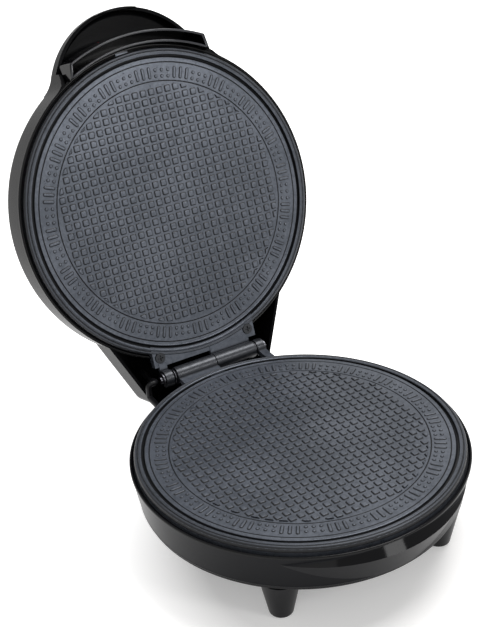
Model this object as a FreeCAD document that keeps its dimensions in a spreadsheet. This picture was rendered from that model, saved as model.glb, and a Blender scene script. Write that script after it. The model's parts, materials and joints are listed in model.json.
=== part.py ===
import FreeCAD, Part
import math
import os
import Sketcher
from FreeCAD import Placement, Rotation, Vector

# Waffle cone maker, lid open. Millimetres, +Z up, -Y to the front (handle), +Y to the hinge.
# The origin is on the counter, below the centre of the baking plates.
# Lid pieces are drawn closed and their Placement turns them open about the hinge axis.

os.makedirs("parts", exist_ok=True)
doc = FreeCAD.newDocument("waffle_cone_maker")

# ---- driving sizes ----
driving = {
    # baking plates
    "face_height": 58.0,          # baking face of the lower plate above the counter
    "plate_gap": 1.6,             # between the two faces when closed
    "plate_radius": 101.0,
    "plate_thickness": 3.4,
    "skirt_depth": 5.8,           # from the face to the seat
    "skirt_inner": "=plate_radius - 6",
    "inner_groove": "=plate_radius - 21.3",
    "outer_groove": "=plate_radius - 9.4",
    "moat_radius": "=plate_radius - 5.6",
    "groove_width": 0.8,
    "groove_depth": 0.5,
    "moat_width": 2.0,
    "moat_depth": 1.8,
    "ring_rise": 0.3,
    "ring_outer": "=plate_radius - 2.6",
    "edge_drop": 0.9,
    # base housing
    "rim_radius": "=plate_radius + 3",
    "rim_height": "=face_height - 4.2",
    "base_radius": "=rim_radius - 4",
    "base_bottom": 28.8,
    "wall": 2.4,
    "edge_gap": 0.8,              # between a plate's edge and the shell around it
    "seat_thickness": 2.4,
    "seat_inner": "=plate_radius - 13",
    "bulge_offset": 20.6,
    "bulge_radius": "=rim_radius - 16",
    "bulge_height": "=rim_height - 5.8",
    "cover_radius": "=base_radius - 1.2",
    "cover_thickness": 2.6,
    "cover_upstand": 5.0,
    # feet
    "foot_side": 56.2,
    "foot_along": "=base_radius - 33.8",
    "foot_top": 12.3,
    "foot_tip": 7.0,
    "foot_round": 2.2,
    "recess_radius": 3.4,
    "recess_depth": 15.0,
    # screws
    "shank_radius": 1.45,
    "pilot_radius": 1.5,
    "free_radius": 1.8,
    "head_radius": 2.5,
    "head_height": 1.8,
    "tab_head_radius": 3.4,
    "tab_head_height": 2.0,
    "tab_head_sink": 1.2,
    "plate_screw_circle": "=plate_radius - 3.1",
    "boss_radius": 4.6,
    # heating
    "element_radius": "=plate_radius - 39",
    "element_tube": 3.2,
    "element_gap": 0.1,
    "element_sweep": 320.0,
    "strap_length": 26.0,
    "strap_width": 12.0,
    "strap_thickness": 1.2,
    "strap_reach": 8.0,           # from the tube's centre line to each strap screw
    "strap_boss": 3.6,
    "shield_thickness": 0.6,
    "shield_flange": "=plate_radius - 4.8",
    "shield_clearance": 0.2,
    "shield_pan": "=plate_radius - 24",
    "shield_depth": 11.0,
    "wire_hole": 6.0,
    # hinge
    "hinge_back": "=plate_radius + 10",
    "hinge_height": "=face_height - 1.4",
    "open_angle": 109.0,
    "knuckle_radius": 5.7,
    "pin_radius": 2.5,
    "pin_clearance": 0.05,
    "knuckle_split": 2.6,
    "knuckle_gap": 0.6,
    "knuckle_left": 27.0,
    "knuckle_right": 32.6,
    "ear_width": 5.4,
    "ear_gap": 1.6,
    "web_thickness": 3.4,
    "web_clearance": 0.4,
    "tab_half": 38.5,
    "tab_back": "=plate_radius + 2",
    "tab_screw_side": 33.5,
    "tab_screw_back": "=plate_radius - 4",
    "pin_head_radius": 4.0,
    "pin_head_height": 1.5,
    "clip_radius": 4.6,
    "clip_thickness": 0.8,
    # lid shell
    "lid_radius": "=rim_radius - 0.2",
    "lid_rim": "=face_height + 4.6",
    "lid_wall": 2.2,
    "lid_top": "=face_height + 38",
    "dome_radius": 1000.0,
    "lid_round": 8.0,
    "hump_radius": 55.8,
    "hump_back": "=lid_radius - 29.5",
    "hump_floor": "=face_height + 20",
    "hump_tip_floor": "=hump_floor + 4",
    "hump_top": "=lid_top - 6",
    "hump_round": 4.0,
    "flare_radius": 22.0,
    "flare_foot": 15.5,           # its lower edge leaves the rim this far ahead of the hump's centre
    "flare_drop": 3.4,            # its top lies this far below the hump's
    "flare_run": 11.0,            # and climbs to the hump over this length
    "shroud_front": "=lid_radius - 28.4",
    "shroud_front_half": "=lid_radius - 36.2",
    "shroud_back": "=hinge_back + 18",
    "shroud_back_half": 43.8,
    "shroud_round": 9.0,
    "shroud_drop": 9.2,
    # handle liner
    "liner_inner": "=lid_radius + 0.4",
    "liner_outer": "=liner_inner + 8.4",
    "liner_rim": "=face_height - 1",
    "liner_wall": 1.5,
    "liner_half_angle": 28.4,
    "liner_end_angle": 25.2,      # where its outer wall stops, short of the inner one
    "liner_floor": "=hump_floor - 2.5",
    "liner_round": 1.5,
    "liner_post": 3.2,
    "liner_post_angle": 14.0,
    # lamps
    "lens_side": 13.0,
    "lens_forward": "=(liner_inner + liner_outer) / 2 - 0.8",
    "lens_radius": 3.5,
    "lens_flange": 4.6,
    "lens_clearance": 0.1,
    "lamp_radius": 2.4,
    "lamp_length": 12.0,
    # electrics in the base
    "gland_angle": 40.0,
    "gland_height": "=base_bottom + 11.7",
    "gland_bore": 3.5,
    "gland_barrel": 6.0,
    "gland_flange": 8.5,
    "gland_clearance": 0.1,
    "block_reach": "=plate_radius - 43.5",
    "block_length": 20.0,
    "block_width": 12.0,
    "block_height": 8.6,
    "thermostat_radius": 8.5,
    "thermostat_height": 6.0,
    "thermostat_forward": 24.0,
    "fuse_radius": 2.2,
    "fuse_length": 12.0,
    "fuse_side": 30.0,
    "lead_radius": 1.1,
    "sleeve_radius": 2.0,
    "sleeve_side": 47.2,
    "sleeve_gap": 0.3,
    "sleeve_level": "=hinge_height - 10.1",
}
sheet = doc.addObject("Spreadsheet::Sheet", "sizes")
for row, (alias, number) in enumerate(driving.items(), start=1):
    sheet.set(f"A{row}", str(number))       # a text value is a formula over other names
    sheet.setAlias(f"A{row}", alias)
doc.recompute()


class Size:
    # A length with the expression that gives it in the sheet.
    def __init__(self, value, text=None):
        self.value = float(value)
        self.text = repr(float(value)) if text is None else text

    def __add__(self, other):
        other = size(other)
        return Size(self.value + other.value, f"({self.text} + {other.text})")

    def __sub__(self, other):
        other = size(other)
        return Size(self.value - other.value, f"({self.text} - {other.text})")

    def __mul__(self, other):
        other = size(other)
        return Size(self.value * other.value, f"({self.text} * {other.text})")

    def __truediv__(self, other):
        other = size(other)
        return Size(self.value / other.value, f"({self.text} / {other.text})")

    def __neg__(self):
        return Size(-self.value, f"(-1 * {self.text})")

    def __radd__(self, other):
        return size(other) + self

    def __rsub__(self, other):
        return size(other) - self

    def __rmul__(self, other):
        return size(other) * self

    def root(self):
        return Size(math.sqrt(self.value), f"sqrt({self.text})")


def size(number):
    return number if isinstance(number, Size) else Size(number)


class Sheet:
    def __getattr__(self, alias):
        return Size(sheet.get(alias), f"sizes.{alias}")


d = Sheet()


# ---- helpers ----
def bind(obj, **properties):
    for name, number in properties.items():
        number = size(number)
        setattr(obj, name, number.value)
        obj.setExpression(name, number.text)
    return obj


def place(obj, x=0, y=0, z=0, rotation=None):
    spot = [size(x), size(y), size(z)]
    obj.Placement = Placement(Vector(*[s.value for s in spot]), rotation or Rotation())
    for letter, number in zip("xyz", spot):
        obj.setExpression(f"Placement.Base.{letter}", number.text)
    return obj


alongX = Rotation(Vector(0, 1, 0), 90)


def cylinder(name, radius, height, x=0, y=0, z=0, rotation=None):
    obj = bind(doc.addObject("Part::Cylinder", name), Radius=radius, Height=height)
    return place(obj, x, y, z, rotation)


def rod(name, radius, x0, x1, y, z):
    return cylinder(name, radius, size(x1) - x0, x0, y, z, alongX)


def box(name, x0, x1, y0, y1, z0, z1):
    obj = doc.addObject("Part::Box", name)
    bind(obj, Length=size(x1) - x0, Width=size(y1) - y0, Height=size(z1) - z0)
    return place(obj, x0, y0, z0)


def cone(name, radius1, radius2, height, x=0, y=0, z=0):
    obj = doc.addObject("Part::Cone", name)
    bind(obj, Radius1=radius1, Radius2=radius2, Height=height)
    return place(obj, x, y, z)


def fuse(name, *shapes):
    obj = doc.addObject("Part::MultiFuse", name)
    obj.Shapes = list(shapes)
    return obj


def cut(name, base, *tools):
    obj = doc.addObject("Part::Cut", name)
    obj.Base = base
    obj.Tool = tools[0] if len(tools) == 1 else fuse(name + "_tools", *tools)
    return obj


def group(name, *shapes):
    obj = doc.addObject("Part::Compound", name)
    obj.Links = list(shapes)
    return obj


def fillet(name, base, radius, wanted):
    # Rounds the edges of the base that the test picks.
    doc.recompute()
    obj = doc.addObject("Part::Fillet", name)
    obj.Base = base
    edges = base.Shape.Edges
    number = size(radius).value
    obj.Edges = [(i, number, number) for i, edge in enumerate(edges, start=1) if wanted(edge)]
    return obj


def profile(body, role, points, name):
    # A closed sketch of straight sides whose corners are bound to the sheet.
    sketch = body.newObject("Sketcher::SketchObject", name)
    plane = next(f for f in body.Origin.OriginFeatures if f.Role == role)
    sketch.AttachmentSupport = (plane, [""])
    sketch.MapMode = "FlatFace"
    corners = [(size(a), size(b)) for a, b in points]
    count = len(corners)
    flat = [Vector(a.value, b.value, 0) for a, b in corners]
    for i in range(count):
        sketch.addGeometry(Part.LineSegment(flat[i], flat[(i + 1) % count]))
    for i in range(count):
        sketch.addConstraint(Sketcher.Constraint("Coincident", i, 2, (i + 1) % count, 1))
    for i, corner in enumerate(corners):
        for kind, number in zip(("DistanceX", "DistanceY"), corner):
            index = sketch.addConstraint(Sketcher.Constraint(kind, -1, 1, i, 1, number.value))
            sketch.setExpression(f"Constraints[{index}]", number.text)
    return sketch


def turned(name, points):
    # A body of revolution about Z from (radius, height) points.
    body = doc.addObject("PartDesign::Body", name)
    sketch = profile(body, "XZ_Plane", points, name + "_profile")
    turn = body.newObject("PartDesign::Revolution", name + "_turn")
    turn.Profile = sketch
    turn.ReferenceAxis = (sketch, ["V_Axis"])
    turn.Angle = 360
    return body


def slab(name, points, z0, z1):
    # A prism from (x, y) points between two heights.
    body = doc.addObject("PartDesign::Body", name)
    sketch = profile(body, "XY_Plane", points, name + "_outline")
    pad = body.newObject("PartDesign::Pad", name + "_pad")
    pad.Profile = sketch
    bind(pad, Length=size(z1) - z0)
    return place(body, 0, 0, z0)


def polar(angle, radius):
    turn = math.radians(angle)
    return size(radius) * math.cos(turn), size(radius) * math.sin(turn)


def screw(name, x, y, seat, length, head_radius, head_height, up=True):
    # A pan-head screw whose head lies under (up) or over its seat.
    way = 1 if up else -1
    head_z = size(seat) - head_height if up else seat
    shank_z = seat if up else size(seat) - length
    head = cylinder(name + "_head", head_radius, head_height, x, y, head_z)
    shank = cylinder(name + "_shank", d.shank_radius, length, x, y, shank_z)
    blade = size(head_height) * 0.55
    slot_z = size(seat) - way * size(head_height) if up else size(seat) + size(head_height) - blade
    slots = []
    for turn in (0, 90):
        slot = bind(doc.addObject("Part::Box", f"{name}_slot{turn}"),
                    Length=size(head_radius) * 1.1, Width=size(head_radius) * 0.22, Height=blade)
        half, thin = size(head_radius) * 0.55, size(head_radius) * 0.11
        if turn:
            place(slot, size(x) + thin, size(y) - half, slot_z, Rotation(Vector(0, 0, 1), 90))
        else:
            place(slot, size(x) - half, size(y) - thin, slot_z)
        slots.append(slot)
    return cut(name, fuse(name + "_blank", head, shank), *slots)


def tube(points, radius, bend):
    # Straight runs joined by tangent arcs, swept with a circle.
    spots = [Vector(*p) for p in points]
    edges, start = [], spots[0]
    for before, corner, after in zip(spots, spots[1:], spots[2:]):
        inward = (before - corner).normalize()
        outward = (after - corner).normalize()
        half = inward.getAngle(outward) / 2
        back = bend / math.tan(half)
        first, last = corner + inward * back, corner + outward * back
        middle = (inward + outward).normalize()
        crown = corner + middle * (bend / math.sin(half) - bend)
        edges.append(Part.LineSegment(start, first).toShape())
        edges.append(Part.Arc(first, crown, last).toShape())
        start = last
    edges.append(Part.LineSegment(start, spots[-1]).toShape())
    path = Part.Wire(edges)
    section = Part.Wire([Part.makeCircle(radius, spots[0], spots[1] - spots[0])])
    return path.makePipeShell([section], True, True)


def pipe(name, points, radius, bend):
    obj = doc.addObject("Part::Feature", name)
    numbers = [[size(c).value for c in p] for p in points]
    obj.Shape = tube(numbers, size(radius).value, bend)
    return obj


openPose = Placement(Vector(), Rotation(Vector(1, 0, 0), -d.open_angle.value),
                     Vector(0, d.hinge_back.value, d.hinge_height.value))
nodes = {}


def keep(name, obj, lid=False):
    obj.Label = name
    nodes[name] = obj
    if lid:
        obj.Placement = openPose.multiply(obj.Placement)
        for letter in "xyz":
            obj.setExpression(f"Placement.Base.{letter}", None)
    return obj


# ---- derived heights ----
lower_face = d.face_height
upper_face = d.face_height + d.plate_gap
seat_height = lower_face - d.skirt_depth            # the lower plate sits here
lid_seat = upper_face + d.skirt_depth               # the upper plate sits here
pin_bore = d.pin_radius + d.pin_clearance


# ---- baking plates ----
def plateProfile(face, way):
    def at(depth):
        return face + depth * way

    half = d.groove_width / 2
    points = [(0, at(size(0)))]
    for groove in (d.inner_groove, d.outer_groove):
        points += [(groove - half, at(size(0))), (groove - half / 2, at(d.groove_depth)),
                   (groove + half / 2, at(d.groove_depth)), (groove + half, at(size(0)))]
    moat_in = d.moat_radius - d.moat_width / 2
    moat_out = d.moat_radius + d.moat_width / 2
    points += [(moat_in - 0.2, at(size(0))), (moat_in, at(d.moat_depth)),
               (moat_out, at(d.moat_depth)), (moat_out + 0.3, at(-d.ring_rise)),
               (d.ring_outer, at(-d.ring_rise)), (d.ring_outer + 0.3, at(d.groove_depth)),
               (d.ring_outer + 0.7, at(size(0))), (d.plate_radius - 0.7, at(d.edge_drop / 4)),
               (d.plate_radius, at(d.edge_drop)), (d.plate_radius, at(d.skirt_depth)),
               (d.skirt_inner, at(d.skirt_depth)), (d.skirt_inner, at(d.plate_thickness)),
               (0, at(d.plate_thickness))]
    return points


strap_angles = (30, 150, 270)
strap_circles = (d.element_radius - d.strap_reach, d.element_radius + d.strap_reach)
back_of_plate = d.plate_thickness
tube_bottom = d.plate_thickness + d.element_gap + 2 * d.element_tube


def strapBosses(name, face, way):
    # Six posts on the plate's back that carry the element straps, and their pilot holes.
    posts, pilots = [], []
    foot = face + way * tube_bottom
    root = face + way * back_of_plate
    low = foot if way < 0 else root
    tall = tube_bottom - back_of_plate
    for angle in strap_angles:
        for ring, circle in enumerate(strap_circles):
            x, y = polar(angle, circle)
            tag = f"{name}_{angle}_{ring}"
            posts.append(cylinder(tag + "_post", d.strap_boss, tall, x, y, low))
            pilots.append(cylinder(tag + "_pilot", d.pilot_radius, tall, x, y, low))
    return posts, pilots


web_low = d.rim_height + d.web_clearance
axis_y, axis_z = d.hinge_back, d.hinge_height
ear_left_inner = -d.knuckle_left - d.ear_gap * 2
ear_left_outer = ear_left_inner - d.ear_width
ear_right_inner = d.knuckle_right + d.ear_gap
ear_right_outer = ear_right_inner + d.ear_width
split_low = d.knuckle_split - d.knuckle_gap / 2
split_high = d.knuckle_split + d.knuckle_gap / 2

posts, pilots = strapBosses("lower_strap", lower_face, -1)
plate = turned("lower_plate_disc", plateProfile(lower_face, -1))
web_top = web_low + d.web_thickness
lugs = [rod("lower_knuckle", d.knuckle_radius, -d.knuckle_left, split_low, axis_y, axis_z),
        rod("lower_ear", d.knuckle_radius, ear_right_inner, ear_right_outer, axis_y, axis_z),
        box("lower_web", -d.knuckle_left, split_low, d.skirt_inner + 1, axis_y, web_low, web_top),
        box("lower_ear_web", ear_right_inner, ear_right_outer, d.skirt_inner - 4, axis_y,
            web_low, web_top)]
bore = rod("lower_bore", pin_bore, -d.tab_half, d.tab_half + d.ear_width, axis_y, axis_z)
screw_angles = (30, 150, 270)
plate_pilots = []
for angle in screw_angles:
    x, y = polar(angle, d.plate_screw_circle)
    plate_pilots.append(cylinder(f"plate_pilot_{angle}", d.pilot_radius, 3.6, x, y, seat_height))
keep("lower_plate", cut("lower_plate", fuse("lower_plate_blank", plate, *posts, *lugs),
                        bore, *pilots, *plate_pilots))

posts, pilots = strapBosses("upper_strap", upper_face, 1)
plate = turned("upper_plate_disc", plateProfile(upper_face, 1))
tab_front = d.skirt_inner - 8
knuckle_top = axis_z + d.knuckle_radius
lugs = [rod("upper_knuckle", d.knuckle_radius, split_high, d.knuckle_right, axis_y, axis_z),
        rod("upper_ear", d.knuckle_radius, ear_left_outer, ear_left_inner, axis_y, axis_z),
        box("upper_web", split_high, d.knuckle_right, d.tab_back - 2.6, axis_y,
            upper_face - 0.4, knuckle_top),
        box("upper_ear_web", ear_left_outer, ear_left_inner, d.tab_back - 2.6, axis_y,
            upper_face - 0.4, knuckle_top),
        box("front_tongue", -14.5, -6, -(d.plate_radius + 1.2), -(d.plate_radius - 4),
            upper_face + 2.2, lid_seat - 1)]
tab = cut("upper_tab", box("tab_slab", -d.tab_half, d.tab_half, tab_front, d.tab_back,
                           upper_face, lid_seat),
          cylinder("tab_field", d.skirt_inner + 1, d.skirt_depth, 0, 0, upper_face))
bore = rod("upper_bore", pin_bore, -d.tab_half - d.ear_width, d.tab_half, axis_y, axis_z)
tab_holes = [cylinder(f"tab_hole_{side}", d.free_radius, d.skirt_depth + 2,
                      side * d.tab_screw_side, d.tab_screw_back, upper_face - 1)
             for side in (-1, 1)]
tab_holes += [cylinder(f"tab_sink_{side}", d.tab_head_radius + 0.3, d.tab_head_sink + 1,
                       side * d.tab_screw_side, d.tab_screw_back, upper_face - 1)
              for side in (-1, 1)]
keep("upper_plate", cut("upper_plate", fuse("upper_plate_blank", plate, tab, *posts, *lugs),
                        bore, *pilots, *tab_holes), lid=True)


# ---- heating elements, straps and heat shields ----
def heating(side, face, way, lid):
    middle = face + way * (d.plate_thickness + d.element_gap + d.element_tube)
    ring = doc.addObject("Part::Torus", side + "_ring")
    bind(ring, Radius1=d.element_radius, Radius2=d.element_tube, Angle3=d.element_sweep)
    start = 110
    place(ring, 0, 0, middle, Rotation(Vector(0, 0, 1), start))
    ends = []
    for end, angle in enumerate((start, start + d.element_sweep.value)):
        x, y = polar(angle, d.element_radius)
        ends.append(bind(doc.addObject("Part::Sphere", f"{side}_bend{end}"),
                         Radius=d.element_tube))
        place(ends[-1], x, y, middle)
        stub_x, stub_y = polar(angle, d.element_radius - 18)
        turn = Rotation(Vector(0, 0, 1), Vector(math.cos(math.radians(angle)),
                                                 math.sin(math.radians(angle)), 0))
        ends.append(cylinder(f"{side}_cold_end{end}", d.element_tube, 18, stub_x, stub_y,
                             middle, turn))
        pin_x, pin_y = polar(angle, d.element_radius - 25)
        ends.append(cylinder(f"{side}_terminal{end}", 1.3, 8, pin_x, pin_y, middle, turn))
    keep(f"{side}_heating_element", fuse(f"{side}_heating_element", ring, *ends), lid)

    seat = face + way * tube_bottom
    low = seat if way > 0 else seat - d.strap_thickness
    straps, screws = [], []
    for angle in strap_angles:
        x, y = polar(angle, d.element_radius - d.strap_length / 2)
        strap = bind(doc.addObject("Part::Box", f"{side}_strap_{angle}_bar"),
                     Length=d.strap_length, Width=d.strap_width, Height=d.strap_thickness)
        across_x, across_y = polar(angle - 90, d.strap_width / 2)
        place(strap, x + across_x, y + across_y, low, Rotation(Vector(0, 0, 1), angle))
        holes = []
        for ring_index, circle in enumerate(strap_circles):
            hole_x, hole_y = polar(angle, circle)
            tag = f"{side}_{angle}_{ring_index}"
            holes.append(cylinder(tag + "_hole", d.free_radius, d.strap_thickness,
                                  hole_x, hole_y, low))
            under = seat + way * d.strap_thickness
            screws.append(screw(tag + "_screw", hole_x, hole_y, under, 5.5, d.head_radius,
                                d.head_height, up=way < 0))
        straps.append(cut(f"{side}_strap_{angle}", strap, *holes))
    keep(f"{side}_element_straps", group(f"{side}_element_straps", *straps), lid)
    keep(f"{side}_strap_screws", group(f"{side}_strap_screws", *screws), lid)

    flange = face + way * d.skirt_depth
    thick = d.shield_thickness

    def at(depth):
        return flange + way * depth

    points = [(0, at(d.shield_depth)), (d.shield_pan, at(d.shield_depth)),
              (d.shield_pan + 4, at(size(0))), (d.shield_flange, at(size(0))),
              (d.shield_flange, at(thick)), (d.shield_pan + 4 + thick, at(thick)),
              (d.shield_pan + thick, at(d.shield_depth + thick)),
              (0, at(d.shield_depth + thick))]
    pan = turned(f"{side}_pan", points)
    hole_x, hole_y = polar(d.gland_angle.value, d.block_reach)
    hole_z = flange + way * (d.shield_depth - 2)
    low = hole_z if way > 0 else hole_z - 6
    hole = cylinder(f"{side}_wire_hole", d.wire_hole, 6, hole_x, hole_y, low)
    keep(f"{side}_heat_shield", cut(f"{side}_heat_shield", pan, hole), lid)


heating("lower", lower_face, -1, False)
heating("upper", upper_face, 1, True)

# ---- base housing ----
inner_rim = d.plate_radius + d.edge_gap
wall_foot = d.base_radius - d.wall
wall_head = d.rim_radius - d.wall
outline = [(d.base_radius - 1.2, d.base_bottom), (d.base_radius, d.base_bottom + 1.2),
           (d.rim_radius, d.rim_height - 0.6), (d.rim_radius - 0.5, d.rim_height),
           (d.rim_radius - 1.0, d.rim_height), (inner_rim, seat_height),
           (d.shield_flange + d.shield_clearance, seat_height),
           (d.shield_flange + d.shield_clearance, seat_height - d.shield_thickness),
           (d.seat_inner, seat_height - d.shield_thickness),
           (d.seat_inner, seat_height - d.seat_thickness),
           (wall_head - 0.6, seat_height - d.seat_thickness), (wall_foot, d.base_bottom)]
shell = turned("housing_turned", outline)
bulge_rise = d.rim_height - d.bulge_height
bulge = fuse("bulge_blank",
             cone("bulge_side", d.base_radius - d.bulge_offset - 0.2, d.bulge_radius,
                  d.bulge_height - d.base_bottom, 0, -d.bulge_offset, d.base_bottom),
             cone("bulge_slope", d.bulge_radius, d.rim_radius - d.bulge_offset - 0.6, bulge_rise,
                  0, -d.bulge_offset, d.bulge_height))
hollow = cone("bulge_hollow", d.base_radius - 1.5, d.rim_radius - 1.5,
              d.rim_height - d.base_bottom, 0, 0, d.base_bottom)
bosses, boss_bores = [], []
seat_under = seat_height - d.seat_thickness
feet_spots = {"front_left": (-1, -1), "front_right": (1, -1),
              "rear_left": (-1, 1), "rear_right": (1, 1)}
for corner, (side, along) in feet_spots.items():
    x, y = side * d.foot_side, along * d.foot_along
    bosses.append(cylinder(f"boss_{corner}", d.boss_radius, seat_under - d.base_bottom,
                           x, y, d.base_bottom))
    boss_bores.append(cylinder(f"boss_bore_{corner}", d.pilot_radius, 13, x, y, d.base_bottom))
seat_holes = []
for angle in screw_angles:
    x, y = polar(angle, d.plate_screw_circle)
    seat_holes.append(cylinder(f"seat_hole_{angle}", d.pilot_radius + 0.1,
                               d.seat_thickness + 2, x, y, seat_under - 1))
gland_x, gland_y = polar(d.gland_angle.value, 1)
outward = Rotation(Vector(0, 0, 1), Vector(gland_x.value, gland_y.value, 0))
gland_x0, gland_y0 = polar(d.gland_angle.value, d.base_radius - 12)
gland_hole = cylinder("gland_hole", d.gland_barrel + d.gland_clearance, 24,
                      gland_x0, gland_y0, d.gland_height, outward)
sleeve_hole = cylinder("sleeve_hole", d.sleeve_radius + 0.2, 24, -d.sleeve_side, 82,
                       d.sleeve_level, Rotation(Vector(1, 0, 0), -90))
lip = cut("bulge_lip", bulge, hollow)
keep("base_housing", cut("base_housing", fuse("housing_blank", shell, lip, *bosses),
                         *boss_bores, *seat_holes, gland_hole, sleeve_hole))

# ---- bottom cover, feet and their screws ----
cover_low = d.base_bottom - d.cover_thickness
upstand_out = wall_foot - 0.8
cover = turned("cover_turned", [
    (0, cover_low), (d.cover_radius - 0.8, cover_low), (d.cover_radius, cover_low + 0.8),
    (d.cover_radius, d.base_bottom), (upstand_out, d.base_bottom),
    (upstand_out, d.base_bottom + d.cover_upstand),
    (upstand_out - 1.2, d.base_bottom + d.cover_upstand), (upstand_out - 1.2, d.base_bottom),
    (0, d.base_bottom)])
cover_holes, foot_screws = [], []
for corner, (side, along) in feet_spots.items():
    x, y = side * d.foot_side, along * d.foot_along
    cover_holes.append(cylinder(f"cover_hole_{corner}", d.free_radius,
                                d.cover_thickness + 2, x, y, cover_low - 1))
    foot_screws.append(screw(f"foot_screw_{corner}", x, y, d.recess_depth,
                             cover_low - d.recess_depth + 12.5, d.recess_radius - 0.3,
                             2.4, up=True))
vents = []
for index in range(6):
    vents.append(box(f"vent_{index}", -26, 26, index * 8 - 22, index * 8 - 19,
                     cover_low - 1, d.base_bottom + 1))
keep("bottom_cover", cut("bottom_cover", cover, *cover_holes, *vents))
keep("foot_screws", group("foot_screws", *foot_screws))

for corner, (side, along) in feet_spots.items():
    x, y = side * d.foot_side, along * d.foot_along
    body = cone(f"{corner}_cone", d.foot_tip, d.foot_top, cover_low, x, y, 0)
    rounded = fillet(f"{corner}_rounded", body, d.foot_round,
                     lambda edge: edge.BoundBox.ZMax < 0.01 and edge.Length > 1)
    recess = cylinder(f"{corner}_recess", d.recess_radius, d.recess_depth, x, y, 0)
    hole = cylinder(f"{corner}_hole", d.free_radius, cover_low, x, y, 0)
    keep(f"{corner}_foot", cut(f"{corner}_foot", rounded, recess, hole))

plate_screws = []
for angle in screw_angles:
    x, y = polar(angle, d.plate_screw_circle)
    plate_screws.append(screw(f"plate_screw_{angle}", x, y, seat_under, d.seat_thickness + 3.4,
                              d.head_radius, d.head_height, up=True))
keep("lower_plate_screws", group("lower_plate_screws", *plate_screws))

# ---- electrics in the base ----
gland_start = d.base_radius - 6
gx, gy = polar(d.gland_angle.value, gland_start)
barrel = cylinder("gland_barrel_solid", d.gland_barrel, 12, gx, gy, d.gland_height, outward)
flange_x, flange_y = polar(d.gland_angle.value, d.base_radius + 3.4)
flange = cylinder("gland_flange_solid", d.gland_flange, 3.4, flange_x, flange_y,
                  d.gland_height, outward)
gland_bore = cylinder("gland_bore_hole", d.gland_bore, 16, gx, gy, d.gland_height, outward)
keep("cord_gland", cut("cord_gland", fuse("gland_blank", barrel, flange), gland_bore))

block_angle = d.gland_angle.value
bx, by = polar(block_angle, d.block_reach - d.block_width / 2)
ox, oy = polar(block_angle - 90, d.block_length / 2)
block = bind(doc.addObject("Part::Box", "block_bar"), Length=d.block_width,
             Width=d.block_length, Height=d.block_height)
place(block, bx + ox, by + oy, d.base_bottom, Rotation(Vector(0, 0, 1), block_angle))
block_holes = []
for index in (-1, 0, 1):
    hx, hy = polar(block_angle, d.block_reach)
    sx, sy = polar(block_angle + 90, index * 6.2)
    block_holes.append(cylinder(f"block_hole_{index + 1}", 1.9, 4, hx + sx, hy + sy,
                                d.base_bottom + d.block_height - 4))
keep("terminal_block", cut("terminal_block", block, *block_holes))

back = lower_face - d.plate_thickness
thermostat_low = back - d.thermostat_height
can = cylinder("thermostat_can", d.thermostat_radius, d.thermostat_height, 0,
               d.thermostat_forward, thermostat_low)
flat = box("thermostat_flat", -14, 14, d.thermostat_forward - 4, d.thermostat_forward + 4,
           back - 1.0, back)
blades = [box(f"thermostat_blade_{side}", side * 5 - 0.4, side * 5 + 0.4,
              d.thermostat_forward - 3, d.thermostat_forward + 3,
              thermostat_low - 4.5, thermostat_low)
          for side in (-1, 1)]
keep("thermostat", fuse("thermostat", can, flat, *blades))

fuse_z = back - d.fuse_radius - 0.6
fuse_body = rod("fuse_can", d.fuse_radius, -d.fuse_side - d.fuse_length / 2,
                -d.fuse_side + d.fuse_length / 2, -10, fuse_z)
fuse_tails = rod("fuse_tails", 0.6, -d.fuse_side - 12, -d.fuse_side + 12, -10, fuse_z)
keep("thermal_fuse", fuse("thermal_fuse", fuse_body, fuse_tails))
clip_blank = box("fuse_clip_bar", -d.fuse_side - 4, -d.fuse_side + 4, -15, -5,
                 fuse_z - d.fuse_radius - 0.9, back)
clip_cut = box("fuse_clip_cut", -d.fuse_side - 5, -d.fuse_side + 5, -14.2, -5.8,
               fuse_z - d.fuse_radius - 0.1, back)
keep("fuse_clip", cut("fuse_clip", clip_blank, clip_cut))

# Leads: gland to block, then block to thermostat and element through the shield's hole.
leads = []
for side in (-1, 1):
    sx, sy = polar(block_angle + 90, side * 1.6)
    wx, wy = polar(block_angle + 90, side * 6.2)
    start_x, start_y = polar(block_angle, gland_start - 0.3)
    mid_x, mid_y = polar(block_angle, 87)
    end_x, end_y = polar(block_angle, d.block_reach + 12)
    top_x, top_y = polar(block_angle, d.block_reach)
    level = d.base_bottom + d.block_height
    leads.append(pipe(f"supply_lead_{side + 1}", [
        (start_x + sx, start_y + sy, d.gland_height), (mid_x + sx, mid_y + sy, d.gland_height),
        (end_x + wx, end_y + wy, d.base_bottom + 5),
        (end_x + wx - (end_x - top_x) * 0.45, end_y + wy - (end_y - top_y) * 0.45,
         d.base_bottom + 5)], d.lead_radius, 4))
    inner_x, inner_y = polar(block_angle, d.block_reach)
    rise = level + 7.5
    leads.append(pipe(f"inner_lead_{side + 1}", [
        (inner_x + sx, inner_y + sy, level + 0.1), (inner_x + sx, inner_y + sy, rise),
        (side * 5 + 8, d.thermostat_forward + 6, rise),
        (side * 5, d.thermostat_forward + 4.4, rise)], d.lead_radius, 3))
keep("base_leads", group("base_leads", *leads))

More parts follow.
